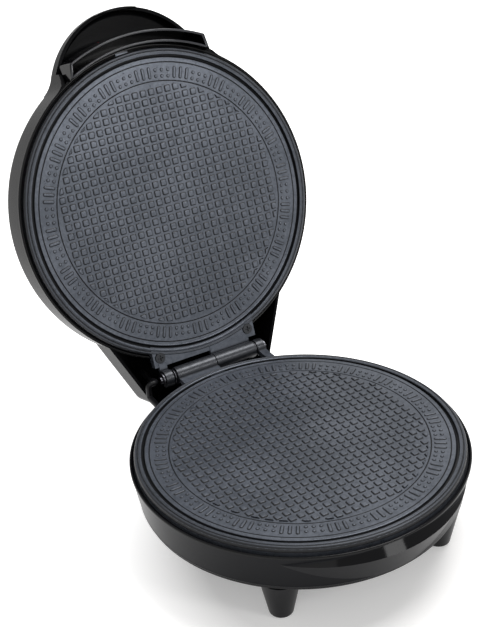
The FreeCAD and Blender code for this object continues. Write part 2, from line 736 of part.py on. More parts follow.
# ---- hinge pin, clip and the wiring sleeve across the hinge ----
clip_x = ear_left_outer - 0.5
pin = fuse("pin_blank", rod("pin_rod", d.pin_radius, clip_x - d.clip_thickness - 1.6,
                            ear_right_outer + 0.3, axis_y, axis_z),
           rod("pin_head", d.pin_head_radius, ear_right_outer + 0.3,
               ear_right_outer + 0.3 + d.pin_head_height, axis_y, axis_z))
groove = cut("pin_groove", rod("groove_out", d.pin_radius + 1, clip_x - d.clip_thickness - 0.1,
                               clip_x + 0.1, axis_y, axis_z),
             rod("groove_core", d.pin_radius - 0.5, clip_x - 3, clip_x + 3, axis_y, axis_z))
keep("hinge_pin", cut("hinge_pin", pin, groove))
washer = rod("clip_disc", d.clip_radius, clip_x - d.clip_thickness, clip_x, axis_y, axis_z)
washer_hole = rod("clip_hole", d.pin_radius - 0.47, clip_x - 2, clip_x + 2, axis_y, axis_z)
washer_slot = box("clip_slot", clip_x - 2, clip_x + 2, axis_y - 1.6, axis_y + 1.6,
                  axis_z - 6, axis_z)
keep("hinge_clip", cut("hinge_clip", washer, washer_hole, washer_slot))

sleeve_bend = 2.4
sleeve_end = -d.sleeve_side + sleeve_bend + 0.3
keep("base_wire_sleeve", pipe("base_wire_sleeve", [
    (-d.sleeve_side, 88, d.sleeve_level), (-d.sleeve_side, axis_y, d.sleeve_level),
    (-d.sleeve_side, axis_y, axis_z), (sleeve_end, axis_y, axis_z)],
    d.sleeve_radius, sleeve_bend))

# ---- lid shell ----
dome_centre = d.lid_top - d.dome_radius


def dome(name, radius, wall, low):
    # A disc with a gently domed top and a rounded shoulder.
    disc = cylinder(name + "_disc", size(radius) - wall, d.lid_top - low, 0, 0, low)
    ball = bind(doc.addObject("Part::Sphere", name + "_ball"), Radius=d.dome_radius - wall)
    place(ball, 0, 0, dome_centre)
    common = doc.addObject("Part::Common", name + "_domed")
    common.Base = disc
    common.Tool = ball
    reach = size(radius).value - size(wall).value
    return fillet(name, common, d.lid_round - wall,
                  lambda e: e.BoundBox.ZMin > size(low).value + 5
                  and abs(e.BoundBox.XMax - reach) < 0.5 and e.BoundBox.XMin < -reach + 0.5)


def hump(name, wall, low, high):
    disc = cylinder(name + "_disc", d.hump_radius - wall, size(high) - low,
                    0, -d.hump_back, low)
    top = size(high).value
    return fillet(name, disc, d.hump_round - size(wall) / 2,
                  lambda e: e.BoundBox.ZMin > top - 0.01 and e.Length > 50)


def flares(name, wall, low, high):
    # The fill between the round lid and the hump, with hollow arcs tangent to both.
    far = d.lid_radius + d.flare_radius
    near = d.hump_radius + d.flare_radius
    y = (far * far - near * near + d.hump_back * d.hump_back) / (d.hump_back * -2)
    x = (far * far - y * y).root()
    fill = slab(name + "_fill", [(0, 0), (-x, y), (0, -d.hump_back - 8), (x, y)], low, high)
    arcs = [cylinder(f"{name}_arc{side}", d.flare_radius + wall, size(high) - low + 2,
                     side * x, y, size(low) - 1) for side in (-1, 1)]
    return cut(name, fill, *arcs)


def shroud(name, wall, low, high):
    front = d.shroud_front - 10
    slope = (d.shroud_front_half - d.shroud_back_half) / (d.shroud_back - d.shroud_front)
    half0 = d.shroud_front_half + slope * 10 - wall
    back = d.shroud_back - wall
    half1 = d.shroud_back_half - wall + slope * wall
    solid = slab(name + "_slab", [(-half0, front), (half0, front), (half1, back),
                                  (-half1, back)], low, high)
    limit = back.value - 0.01
    rounded = fillet(name + "_corners", solid, d.shroud_round - wall,
                     lambda e: e.BoundBox.YMin > limit and e.BoundBox.XLength < 0.01)
    top = size(high).value - 0.01
    if size(wall).value > 0:
        return rounded
    return fillet(name, rounded, d.hump_round,
                  lambda e: e.BoundBox.ZMin > top and e.BoundBox.YMax > front.value + 1)


crown = dome("crown", d.lid_radius, 0, d.lid_rim)
visor = hump("visor", 0, d.hump_floor, d.hump_top)
flare_full = flares("flare_full", 0, d.lid_rim, d.hump_top - d.flare_drop)
flare_rise = d.hump_floor - d.lid_rim
flare_turn = math.degrees(math.atan2(flare_rise.value, d.flare_run.value))
flare_under = bind(doc.addObject("Part::Box", "flare_under"), Length=160, Width=60, Height=40)
turn = math.radians(flare_turn)
foot_y = -(d.hump_back + d.flare_foot)
place(flare_under, -80, foot_y - 60 * math.cos(turn) - 40 * math.sin(turn),
      d.lid_rim + 60 * math.sin(turn) - 40 * math.cos(turn),
      Rotation(Vector(1, 0, 0), -flare_turn))
flare = cut("flare", flare_full, flare_under)
hood = shroud("hood", 0, d.lid_rim, d.hump_top)
skirt = box("hood_skirt", -d.shroud_back_half + d.shroud_round, d.shroud_back_half
            - d.shroud_round, d.shroud_back - d.lid_wall, d.shroud_back,
            d.lid_rim - d.shroud_drop, d.lid_rim + 6)
tip = d.hump_back + d.hump_radius
slope_rise = d.hump_tip_floor - d.hump_floor
slope = math.degrees(math.atan2(slope_rise.value, d.hump_radius.value / 2))
under = bind(doc.addObject("Part::Box", "visor_under"), Length=140, Width=60, Height=30)
place(under, -70, -tip - 2, d.hump_tip_floor - 30, Rotation(Vector(1, 0, 0), -slope))
blank = cut("lid_blank", fuse("lid_solid", crown, cut("visor_cut", visor, under), flare,
                              hood, skirt), cylinder(
    "rim_room", d.plate_radius + d.edge_gap, 8, 0, 0, d.lid_rim - 8))

inner_crown = dome("inner_crown", d.lid_radius, d.lid_wall, d.lid_rim - 2)
inner_visor = hump("inner_visor", d.lid_wall, d.hump_floor - 14, d.hump_top - d.lid_wall)
inner_flare = flares("inner_flare", d.lid_wall, d.lid_rim - 1,
                     d.hump_top - d.flare_drop - d.lid_wall)
inner_hood = shroud("inner_hood", d.lid_wall, d.lid_rim - 12, d.hump_top - d.lid_wall)
outside = cut("outside_room", fuse("visor_room", inner_visor, inner_flare), cylinder(
    "crown_keep", d.lid_radius, 60, 0, 0, d.lid_rim - 4))
shell = cut("lid_hollow", blank, inner_crown, inner_hood, outside)

lid_seat_ring = cut("lid_seat_ring", cylinder("lid_seat_disc", d.lid_radius - d.lid_wall / 2,
                                              d.seat_thickness, 0, 0, lid_seat),
                    cylinder("lid_seat_open", d.seat_inner, d.seat_thickness, 0, 0, lid_seat),
                    cylinder("lid_seat_rebate", d.shield_flange + d.shield_clearance,
                             d.shield_thickness, 0, 0, lid_seat))
pillars = [cylinder(f"pillar_{side}", d.boss_radius, d.hump_top - 1 - lid_seat,
                    side * d.tab_screw_side, d.tab_screw_back, lid_seat) for side in (-1, 1)]
pillar_keep = cylinder("pillar_keep", d.shield_flange + 0.6, d.shield_thickness,
                       0, 0, lid_seat)
pillar_bores = [cylinder(f"pillar_bore_{side}", d.pilot_radius, 14, side * d.tab_screw_side,
                         d.tab_screw_back, lid_seat) for side in (-1, 1)]
lens_holes = [cylinder(f"lens_hole_{side}", d.lens_radius + d.lens_clearance, 10,
                       side * d.lens_side, -d.lens_forward, d.hump_top - 6)
              for side in (-1, 1)]
tongue_slot = box("tongue_slot", -14.5 - 0.4, -6 + 0.4, -(d.plate_radius + 1.6),
                  -(d.plate_radius - 4), upper_face + 1.8, lid_seat - 0.6)
keep("lid_shell", cut("lid_shell", fuse("lid_built", shell, lid_seat_ring, *pillars),
                      *pillar_bores, *lens_holes, pillar_keep, tongue_slot), lid=True)

# ---- handle liner ----
liner_top = d.hump_top - d.lid_wall


def sector(name, inner, outer, turns, low, high):
    # A length of ring whose ends run from the first angle inside to the second outside.
    ring = cut(name + "_ring", cylinder(name + "_out", outer, size(high) - low, 0, 0, low),
               cylinder(name + "_in", inner, size(high) - low, 0, 0, low))
    near_x, near_y = polar(turns[0] - 90, inner)
    far_x, far_y = polar(turns[1] - 90, outer)
    step_x, step_y = far_x - near_x, far_y - near_y
    in_x, in_y = near_x - step_x, near_y - step_y
    out_x, out_y = far_x + step_x * 1.5, far_y + step_y * 1.5
    keeper = slab(name + "_keep", [(-in_x, in_y), (-out_x, out_y), (out_x, out_y), (in_x, in_y)],
                  low, high)
    common = doc.addObject("Part::Common", name)
    common.Base = ring
    common.Tool = keeper
    return common


turns = (d.liner_half_angle.value, d.liner_end_angle.value)
wall_turn = math.degrees(1.15 * d.liner_wall.value / d.liner_outer.value)
liner_block = sector("liner_block", d.liner_inner, d.liner_outer, turns,
                     d.liner_rim, d.liner_floor)
corner_x = d.liner_outer.value * math.sin(math.radians(turns[1]))
liner_solid = fillet("liner_solid", liner_block, d.liner_round,
                     lambda e: e.BoundBox.ZLength > 10
                     and abs(abs(e.BoundBox.XMin) - corner_x) < 0.1)
liner_room = sector("liner_room", d.liner_inner + d.liner_wall, d.liner_outer - d.liner_wall,
                    (turns[0] - wall_turn, turns[1] - wall_turn), d.liner_rim,
                    d.liner_floor - d.liner_wall)
# Two posts stand on its floor and meet the roof of the hood.
middle = (d.liner_inner + d.liner_outer) / 2
liner_posts = []
for side in (-1, 1):
    post_x, post_y = polar(-90 + side * d.liner_post_angle.value, middle)
    liner_posts.append(cylinder(f"liner_post_{side}", d.liner_post,
                                liner_top - d.liner_floor + 0.5, post_x, post_y,
                                d.liner_floor - 0.5))
keep("handle_liner", fuse("handle_liner", cut("liner_tray", liner_solid, liner_room),
                          *liner_posts), lid=True)

# ---- lamps ----
for name, side in (("power", -1), ("ready", 1)):
    x, y = side * d.lens_side, -d.lens_forward
    stem = cylinder(f"{name}_stem", d.lens_radius, d.lid_wall, x, y, liner_top)
    crest = cylinder(f"{name}_crest", d.lens_flange, 1.2, x, y, d.hump_top)
    keep(f"{name}_lens", fuse(f"{name}_lens", stem, crest), lid=True)
    lamp = cylinder(f"{name}_glass", d.lamp_radius, d.lamp_length, x, y,
                    liner_top - d.lamp_length - 0.1)
    keep(f"{name}_lamp", lamp, lid=True)

# ---- lid screws, leads and sleeve ----
tab_screws = [screw(f"tab_screw_{side}", side * d.tab_screw_side, d.tab_screw_back,
                    upper_face + d.tab_head_sink, d.skirt_depth - d.tab_head_sink + 10,
                    d.tab_head_radius, d.tab_head_height)
              for side in (-1, 1)]
keep("hinge_tab_screws", group("hinge_tab_screws", *tab_screws), lid=True)
lid_sleeve_start = sleeve_end + d.sleeve_gap
lid_sleeve_turn = lid_sleeve_start + sleeve_bend + 0.6
keep("lid_wire_sleeve", pipe("lid_wire_sleeve", [
    (lid_sleeve_start, axis_y, axis_z), (lid_sleeve_turn, axis_y, axis_z),
    (lid_sleeve_turn, axis_y, axis_z + 12), (lid_sleeve_turn, axis_y - 4, axis_z + 22)],
    d.sleeve_radius, sleeve_bend), lid=True)

# ---- check and write ----
doc.recompute()
for obj in doc.Objects:
    if set(obj.State) & {"Invalid", "Error"}:
        raise RuntimeError(f"{obj.Name} failed: {obj.State}")
for name, obj in nodes.items():
    if obj.Shape.isNull() or not obj.Shape.isValid():
        raise RuntimeError(f"{name} has no valid shape")
for name, obj in nodes.items():
    obj.Shape.exportStep(f"parts/{name}.step")
    print(name, len(obj.Shape.Solids), round(obj.Shape.Volume, 1))
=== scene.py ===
import json
import math

import bmesh
import bpy
from mathutils import Matrix, Vector


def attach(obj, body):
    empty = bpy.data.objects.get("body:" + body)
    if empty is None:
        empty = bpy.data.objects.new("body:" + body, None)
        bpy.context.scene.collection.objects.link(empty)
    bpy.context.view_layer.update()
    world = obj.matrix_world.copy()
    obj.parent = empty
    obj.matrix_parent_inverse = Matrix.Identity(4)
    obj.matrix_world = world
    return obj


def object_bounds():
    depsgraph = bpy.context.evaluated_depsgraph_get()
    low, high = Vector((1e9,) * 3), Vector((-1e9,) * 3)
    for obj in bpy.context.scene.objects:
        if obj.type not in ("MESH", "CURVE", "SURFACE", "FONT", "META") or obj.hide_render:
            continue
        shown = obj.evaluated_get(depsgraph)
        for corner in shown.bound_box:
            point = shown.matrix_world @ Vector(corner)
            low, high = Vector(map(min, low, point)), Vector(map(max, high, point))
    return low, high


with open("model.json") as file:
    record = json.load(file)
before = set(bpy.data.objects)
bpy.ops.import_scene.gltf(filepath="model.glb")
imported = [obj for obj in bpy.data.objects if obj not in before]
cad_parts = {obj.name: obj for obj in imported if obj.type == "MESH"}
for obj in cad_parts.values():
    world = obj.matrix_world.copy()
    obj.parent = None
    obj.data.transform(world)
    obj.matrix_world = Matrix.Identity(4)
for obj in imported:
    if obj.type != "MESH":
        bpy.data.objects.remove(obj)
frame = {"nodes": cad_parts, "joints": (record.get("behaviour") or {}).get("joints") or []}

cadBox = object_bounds()
nodes = frame["nodes"]
hinge = frame["joints"][0]
mm = 0.001


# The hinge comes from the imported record, the two heights are the baking faces'
hingeAxis = Vector(hinge["pos_m"])
openAngle = math.radians(hinge["range_deg"][1])
faceHeight = 58.0 * mm       # lower face above the counter
plateGap = 1.6 * mm          # between the faces when closed
lidTurn = (Matrix.Translation(hingeAxis) @ Matrix.Rotation(-openAngle, 4, "X")
           @ Matrix.Translation(-hingeAxis))

print("frame loaded", len(nodes), "nodes")

# Materials


class Shader:
    # a small builder: nodes by type, links by position
    def __init__(self, name):
        self.material = bpy.data.materials.new(name)
        self.material.use_nodes = True
        self.tree = self.material.node_tree
        self.tree.nodes.clear()
        self.out = self.add("ShaderNodeOutputMaterial")
        self.main = self.add("ShaderNodeBsdfPrincipled")
        self.link(self.main.outputs[0], self.out.inputs[0])
        self.coords = self.add("ShaderNodeTexCoord")

    def add(self, kind, **settings):
        node = self.tree.nodes.new(kind)
        for key, value in settings.items():
            setattr(node, key, value)
        return node

    def link(self, a, b):
        self.tree.links.new(a, b)

    def noise(self, scale, detail=3.0, rough=0.5, stretch=None):
        node = self.add("ShaderNodeTexNoise")
        node.inputs["Scale"].default_value = scale
        node.inputs["Detail"].default_value = detail
        node.inputs["Roughness"].default_value = rough
        source = self.coords.outputs["Object"]
        if stretch:
            mapping = self.add("ShaderNodeMapping")
            mapping.inputs["Scale"].default_value = stretch
            self.link(source, mapping.inputs["Vector"])
            source = mapping.outputs[0]
        self.link(source, node.inputs["Vector"])
        return node.outputs["Fac"]

    def remap(self, value, low, high, fromLow=0.3, fromHigh=0.7):
        node = self.add("ShaderNodeMapRange")
        node.inputs["From Min"].default_value = fromLow
        node.inputs["From Max"].default_value = fromHigh
        node.inputs["To Min"].default_value = low
        node.inputs["To Max"].default_value = high
        self.link(value, node.inputs["Value"])
        return node.outputs["Result"]

    def ramp(self, value, stops):
        node = self.add("ShaderNodeValToRGB")
        ends = node.color_ramp.elements
        while len(ends) < len(stops):
            ends.new(0.5)
        for end, (at, colour) in zip(ends, stops):
            end.position = at
            end.color = (*colour, 1)
        self.link(value, node.inputs["Fac"])
        return node.outputs["Color"]

    def bump(self, value, strength, distance, below=None):
        node = self.add("ShaderNodeBump")
        node.inputs["Strength"].default_value = strength
        node.inputs["Distance"].default_value = distance
        self.link(value, node.inputs["Height"])
        if below is not None:
            self.link(below, node.inputs["Normal"])
        return node.outputs["Normal"]

    def set(self, **sockets):
        names = {"colour": "Base Color", "rough": "Roughness", "metal": "Metallic",
                 "normal": "Normal", "specular": "Specular IOR Level", "ior": "IOR",
                 "glass": "Transmission Weight"}
        for key, value in sockets.items():
            socket = self.main.inputs[names[key]]
            if hasattr(value, "is_linked"):
                self.link(value, socket)
            elif key == "colour":
                socket.default_value = (*value, 1)
            else:
                socket.default_value = value
        return self.material


def nonStick():
    # slate-grey coating over a fine cast skin; painted shade from the shade attribute darkens
    # it round the foot of the relief, in the grooves and on the rim ring
    s = Shader("nonStickCoating")
    cloud = s.noise(22, 4, 0.55)
    fine = s.noise(1400, 2, 0.5)
    skin = s.noise(420, 3, 0.6)
    speckle = s.add("ShaderNodeMath", operation="MULTIPLY_ADD")
    s.link(skin, speckle.inputs[0])
    speckle.inputs[1].default_value = 0.7
    s.link(s.remap(cloud, 0.0, 0.3), speckle.inputs[2])
    bareCoating = s.ramp(speckle.outputs[0],
                   [(0.38, (0.066, 0.075, 0.092)), (0.62, (0.102, 0.113, 0.136))])
    paintedShade = s.add("ShaderNodeAttribute", attribute_name="paintedShade")
    blend = s.add("ShaderNodeMix", data_type="RGBA")
    s.link(paintedShade.outputs["Fac"], blend.inputs["Factor"])
    s.link(bareCoating, blend.inputs[6])
    # painted shade: where the shade attribute is 1 the coating turns near black
    blend.inputs[7].default_value = (0.006, 0.0065, 0.008, 1)
    rough = s.add("ShaderNodeMath", operation="MULTIPLY_ADD")
    s.link(paintedShade.outputs["Fac"], rough.inputs[0])
    rough.inputs[1].default_value = 0.15
    s.link(s.remap(skin, 0.27, 0.37), rough.inputs[2])
    normal = s.bump(fine, 0.35, 0.00007, s.bump(skin, 0.30, 0.00018))
    # painted shade: the knuckles and the front tongue are drawn darker than the faces
    offset = s.add("ShaderNodeVectorMath", operation="SUBTRACT")
    offset.inputs[1].default_value = (0, hingeAxis.y, hingeAxis.z)
    s.link(s.coords.outputs["Object"], offset.inputs[0])
    flat = s.add("ShaderNodeVectorMath", operation="MULTIPLY")
    flat.inputs[1].default_value = (0, 1, 1)
    s.link(offset.outputs[0], flat.inputs[0])
    away = s.add("ShaderNodeVectorMath", operation="LENGTH")
    s.link(flat.outputs[0], away.inputs[0])
    knuckle = s.add("ShaderNodeMix", data_type="RGBA")
    tongue = hingeAxis.y + hingeShade["tongueReach"]
    ahead = s.remap(away.outputs["Value"], 0, 1, tongue, tongue + hingeShade["tongueFade"])
    either = s.add("ShaderNodeMath", operation="MAXIMUM")
    s.link(s.remap(away.outputs["Value"], 1, 0, hingeShade["knuckle"],
                   hingeShade["knuckleFade"]), either.inputs[0])
    s.link(ahead, either.inputs[1])
    s.link(either.outputs[0], knuckle.inputs["Factor"])
    s.link(blend.outputs[2], knuckle.inputs[6])
    knuckle.inputs[7].default_value = (*hingeShade["tone"], 1)
    return s.set(colour=knuckle.outputs[2], rough=rough.outputs[0], metal=0.5, normal=normal)


def satinBlack(name, tone, roughLow, roughHigh, grain=0.2, ior=1.3):
    s = Shader(name)
    cloud = s.noise(14, 3)
    fine = s.noise(2600, 2, 0.6)
    dark = tuple(c * 0.88 for c in tone)
    colour = s.ramp(cloud, [(0.3, dark), (0.7, tone)])
    normal = s.bump(fine, grain, 0.00004)
    return s.set(colour=colour, rough=s.remap(cloud, roughLow, roughHigh), normal=normal,
                 ior=ior)


def glossBlack(name, tone=(0.003, 0.003, 0.0035), ior=1.25):
    s = Shader(name)
    wave = s.noise(60, 2)
    colour = s.ramp(wave, [(0.3, tone), (0.7, tuple(c * 1.3 for c in tone))])
    return s.set(colour=colour, rough=s.remap(wave, 0.08, 0.14),
                 normal=s.bump(wave, 0.04, 0.0002), ior=ior)


def housingPlastic():
    # satin wall, with the polished crescent marked out by where it lies
    s = Shader("housingPlastic")
    place = s.add("ShaderNodeSeparateXYZ")
    s.link(s.coords.outputs["Object"], place.inputs[0])
    flat = s.add("ShaderNodeVectorMath", operation="MULTIPLY")
    flat.inputs[1].default_value = (1, 1, 0)
    s.link(s.coords.outputs["Object"], flat.inputs[0])
    far = s.add("ShaderNodeVectorMath", operation="LENGTH")
    s.link(flat.outputs[0], far.inputs[0])
    high = s.remap(place.outputs["Z"], 0, 1, crescent["low"] - 0.1 * mm, crescent["low"])
    out = s.remap(far.outputs["Value"], 0, 1, crescent["radius"], crescent["radius"] + 0.1 * mm)
    both = s.add("ShaderNodeMath", operation="MULTIPLY")
    s.link(high, both.inputs[0])
    s.link(out, both.inputs[1])
    cloud = s.noise(14, 3)
    fine = s.noise(2600, 2, 0.6)
    colour = s.ramp(cloud, [(0.3, (0.0052, 0.0056, 0.0072)), (0.7, (0.0068, 0.0072, 0.0090))])
    blend = s.add("ShaderNodeMix", data_type="RGBA")
    s.link(both.outputs[0], blend.inputs["Factor"])
    s.link(colour, blend.inputs[6])
    blend.inputs[7].default_value = (0.003, 0.003, 0.0035, 1)
    satin = s.remap(cloud, 0.26, 0.34)
    gloss = s.add("ShaderNodeMix", data_type="FLOAT")
    s.link(both.outputs[0], gloss.inputs["Factor"])
    s.link(satin, gloss.inputs[2])
    gloss.inputs[3].default_value = 0.06
    return s.set(colour=blend.outputs[2], rough=gloss.outputs[0],
                 normal=s.bump(fine, 0.12, 0.00003), ior=1.19)


def metal(name, tone, roughLow, roughHigh, streak=(1, 1, 12)):
    s = Shader(name)
    grain = s.noise(900, 3, 0.6, streak)
    cloud = s.noise(40, 3)
    colour = s.ramp(cloud, [(0.3, tuple(c * 0.85 for c in tone)), (0.7, tone)])
    return s.set(colour=colour, metal=1.0, rough=s.remap(grain, roughLow, roughHigh),
                 normal=s.bump(grain, 0.15, 0.00004))


def plain(name, tone, rough, specular=0.5):
    s = Shader(name)
    cloud = s.noise(80, 3)
    fine = s.noise(1500, 2)
    colour = s.ramp(cloud, [(0.3, tuple(c * 0.85 for c in tone)), (0.7, tone)])
    return s.set(colour=colour, rough=s.remap(cloud, rough - 0.05, rough + 0.05),
                 normal=s.bump(fine, 0.15, 0.00005), specular=specular)


def tinted(name, tone):
    s = Shader(name)
    ribs = s.noise(300, 2)
    colour = s.ramp(ribs, [(0.3, tone), (0.7, tuple(min(1, c * 1.2) for c in tone))])
    return s.set(colour=colour, rough=0.12, glass=0.5, ior=1.49,
                 normal=s.bump(ribs, 0.1, 0.0001))


# painted shade on the knuckles and the front tongue: reach from the hinge axis and the darker
# tone
hingeShade = {
    "knuckle": 6.2 * mm, "knuckleFade": 7.5 * mm,   # from the hinge axis
    "tongueReach": 101.2 * mm, "tongueFade": 0.4 * mm,   # ahead of the plate's centre
    "tone": (0.024, 0.026, 0.031),
}
crescent = {
    "low": 48.0 * mm,        # lower edge of the polished slope on the front
    "radius": 104.15 * mm,   # it lies outside the round of the rim
}
coating = nonStick()
gloss = glossBlack("polishedBlack")
washerSteel = metal("washerSteel", (0.09, 0.09, 0.10), 0.25, 0.38)
finishes = {
    "lower_plate": coating,
    "upper_plate": coating,
    "base_housing": housingPlastic(),
    "lid_shell": satinBlack("lidSatin", (0.0035, 0.0036, 0.0042), 0.20, 0.28, 0.1, 1.10),
    "handle_liner": glossBlack("linerGloss", ior=1.13),
    "bottom_cover": satinBlack("coverSatin", (0.008, 0.008, 0.009), 0.40, 0.50),
    "cord_gland": plain("glandRubber", (0.012, 0.012, 0.012), 0.6, 0.3),
    "hinge_pin": metal("pinSteel", (0.09, 0.09, 0.10), 0.28, 0.40, (12, 1, 1)),
    "hinge_clip": metal("clipSteel", (0.08, 0.08, 0.09), 0.30, 0.42),
    "base_wire_sleeve": plain("sleeveBlack", (0.006, 0.006, 0.007), 0.35, 0.15),
    "lid_wire_sleeve": plain("sleeveBlackLid", (0.006, 0.006, 0.007), 0.35, 0.15),
    "lower_heat_shield": metal("shieldAluminised", (0.70, 0.71, 0.72), 0.22, 0.36),
    "upper_heat_shield": metal("shieldAluminisedLid", (0.70, 0.71, 0.72), 0.22, 0.36),
    "terminal_block": plain("blockCeramic", (0.70, 0.68, 0.62), 0.55),
    "thermostat": plain("thermostatBakelite", (0.20, 0.10, 0.05), 0.4),
    "thermal_fuse": metal("fuseCan", (0.62, 0.58, 0.44), 0.25, 0.40),
    "fuse_clip": metal("clipZinc", (0.58, 0.58, 0.56), 0.30, 0.45),
    "base_leads": plain("leadSleeving", (0.60, 0.58, 0.52), 0.7, 0.2),
    "power_lens": tinted("lensRed", (0.50, 0.02, 0.015)),
    "ready_lens": tinted("lensGreen", (0.02, 0.35, 0.06)),
    "power_lamp": tinted("lampGlass", (0.80, 0.70, 0.60)),
    "ready_lamp": tinted("lampGlassReady", (0.80, 0.75, 0.65)),
    "hinge_tab_screws": metal("screwBlackened", (0.05, 0.052, 0.056), 0.32, 0.44),
}
footPlastic = satinBlack("footSatin", (0.009, 0.009, 0.0105), 0.32, 0.40)
zinc = metal("screwZinc", (0.60, 0.60, 0.58), 0.28, 0.42)
element = metal("elementSheath", (0.16, 0.14, 0.13), 0.35, 0.55)
for node in nodes:
    if node.endswith("_foot"):
        finishes[node] = footPlastic
    elif node.endswith("_heating_element"):
        finishes[node] = element
    elif node.endswith("_element_straps") or node in ("foot_screws", "lower_plate_screws") \
            or node.endswith("_strap_screws"):
        finishes[node] = zinc


def dress(node, finish):
    holder = nodes[node]
    for slot in holder.material_slots:
        slot.link = "OBJECT"
        slot.material = finish


for node, finish in finishes.items():
    dress(node, finish)
print("finishes on", len(finishes), "nodes")

# Waffle relief

relief = {
    "pitch": 5.864 * mm,
    "across": 26,
    "edge": 77.9 * mm,
    "foot": 0.78,            # share of the pitch at the foot of a square
    "crown": 0.52,           # and on its flat top
    "height": 0.74 * mm,
    "corner": 0.34,          # corner rounding as a share of the half width
    "sink": 0.05 * mm,
}
band = {
    "barIn": 81.2 * mm,
    "barOut": 89.2 * mm,
    "barWidth": 2.5 * mm,
    "height": 0.58 * mm,
    "dotRings": (82.7 * mm, 86.7 * mm),
    "dotRadius": 1.28 * mm,
    "step": 3.0,
    "groups": 20,
}


def roundedSquare(x, y, half, z, corner, perCorner=4):
    radius = half * corner
    ring = []
    for quarter in range(4):
        turn = quarter * math.pi / 2
        cx = (half - radius) * math.copysign(1, math.cos(turn + math.pi / 4))
        cy = (half - radius) * math.copysign(1, math.sin(turn + math.pi / 4))
        for k in range(perCorner):
            a = turn + math.pi / 2 * k / (perCorner - 1)
            ring.append(Vector((x + cx + radius * math.cos(a),
                                y + cy + radius * math.sin(a), z)))
    return ring


def skin(mesh, rings, paintedShade):
    # joins rings of equal length from the foot up and closes the top
    layer = mesh.verts.layers.float.get("paintedShade") or mesh.verts.layers.float.new("paintedShade")
    loops = []
    for ring, shadeAmount in zip(rings, paintedShade):
        loops.append([mesh.verts.new(p) for p in ring])
        for vertex in loops[-1]:
            vertex[layer] = shadeAmount
    count = len(loops[0])
    for below, above in zip(loops, loops[1:]):
        for i in range(count):
            j = (i + 1) % count
            mesh.faces.new((below[i], below[j], above[j], above[i]))
    mesh.faces.new(loops[-1])


def finishMesh(name, mesh, material, body, lid=False, smooth=True):
    data = bpy.data.meshes.new(name)
    bmesh.ops.recalc_face_normals(mesh, faces=mesh.faces)
    mesh.to_mesh(data)
    mesh.free()
    if lid:
        data.transform(lidTurn)
    data.materials.append(material)
    for face in data.polygons:
        face.use_smooth = smooth
    piece = bpy.data.objects.new(name, data)
    bpy.context.collection.objects.link(piece)
    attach(piece, body)
    return piece


def placeOnFace(mesh, side):
    # the relief is drawn rising from z = 0; the upper plate wears it upside down
    if side == "lower":
        bmesh.ops.translate(mesh, verts=mesh.verts, vec=(0, 0, faceHeight))
        return
    bmesh.ops.scale(mesh, verts=mesh.verts, vec=(1, 1, -1))
    bmesh.ops.translate(mesh, verts=mesh.verts, vec=(0, 0, faceHeight + plateGap))


def waffleSquares(side):
    mesh = bmesh.new()
    pitch = relief["pitch"]
    reach = relief["across"] // 2
    levels = [(relief["foot"], -relief["sink"]), (relief["foot"] - 0.02, 0.02 * mm),
              (relief["crown"] + 0.10, relief["height"] * 0.82),
              (relief["crown"] + 0.03, relief["height"] * 0.97),
              (relief["crown"] - 0.05, relief["height"])]
    for column in range(-reach, reach):
        for row in range(-reach, reach):
            x, y = (column + 0.5) * pitch, (row + 0.5) * pitch
            rings = []
            for share, z in levels:
                ring = roundedSquare(x, y, pitch * share / 2, z, relief["corner"])
                for point in ring:
                    far = math.hypot(point.x, point.y)
                    if far > relief["edge"]:
                        point.x *= relief["edge"] / far
                        point.y *= relief["edge"] / far
                rings.append(ring)
            inside = sum(math.hypot(p.x, p.y) < relief["edge"] * 0.999 for p in rings[2])
            if inside >= 4:
                # painted shade round the foot and up the slopes of each square, less near its
                # top, none on the top
                skin(mesh, rings, (0.9, 1.0, 1.0, 0.5, 0.0))
    placeOnFace(mesh, side)
    return mesh


def radialBars(side):
    mesh = bmesh.new()
    width = band["barWidth"] / 2
    for group in range(band["groups"]):
        for bar in (-1, 0, 1):
            angle = math.radians(group * 360 / band["groups"] + bar * band["step"] + 90)
            along = Vector((math.cos(angle), math.sin(angle), 0))
            across = Vector((-along.y, along.x, 0))
            rings = []
            for share, z in ((1.0, -relief["sink"]), (0.96, 0.02 * mm),
                             (0.62, band["height"] * 0.8),
                             (0.45, band["height"] * 0.97), (0.30, band["height"])):
                half = width * share
                low, high = band["barIn"] + width, band["barOut"] - width
                ring = []
                for end, centre in ((0, high), (math.pi, low)):
                    for k in range(7):
                        a = end - math.pi / 2 + math.pi * k / 6
                        ring.append(along * (centre + half * math.cos(a))
                                    + across * (half * math.sin(a)) + Vector((0, 0, z)))
                rings.append(ring)
            # painted shade round the foot and up the slopes of each bar, none on its crown
            skin(mesh, rings, (0.9, 1.0, 0.9, 0.35, 0.0))
    placeOnFace(mesh, side)
    return mesh


def raisedDots(side):
    mesh = bmesh.new()
    for group in range(band["groups"]):
        for dot in (-1, 0, 1):
            angle = math.radians((group + 0.5) * 360 / band["groups"] + dot * band["step"] + 90)
            for ringRadius in band["dotRings"]:
                cx, cy = ringRadius * math.cos(angle), ringRadius * math.sin(angle)
                rings = []
                for share, z in ((1.0, -relief["sink"]), (0.95, 0.02 * mm),
                                 (0.72, band["height"] * 0.75), (0.50, band["height"] * 0.96),
                                 (0.28, band["height"])):
                    half = band["dotRadius"] * share
                    rings.append([Vector((cx + half * math.cos(math.tau * k / 12),
                                          cy + half * math.sin(math.tau * k / 12), z))
                                  for k in range(12)])
                # painted shade round the foot and up the slopes of each dot, none on its crown
                skin(mesh, rings, (0.9, 1.0, 0.85, 0.1, 0.0))
    placeOnFace(mesh, side)
    return mesh


for side, body in (("lower", "base"), ("upper", "lid")):
    lid = side == "upper"
    finishMesh(side + "WaffleSquares", waffleSquares(side), coating, body, lid)
    finishMesh(side + "RadialBars", radialBars(side), coating, body, lid)
    finishMesh(side + "RaisedDots", raisedDots(side), coating, body, lid)
print("relief on both plates")

# Rims and small parts

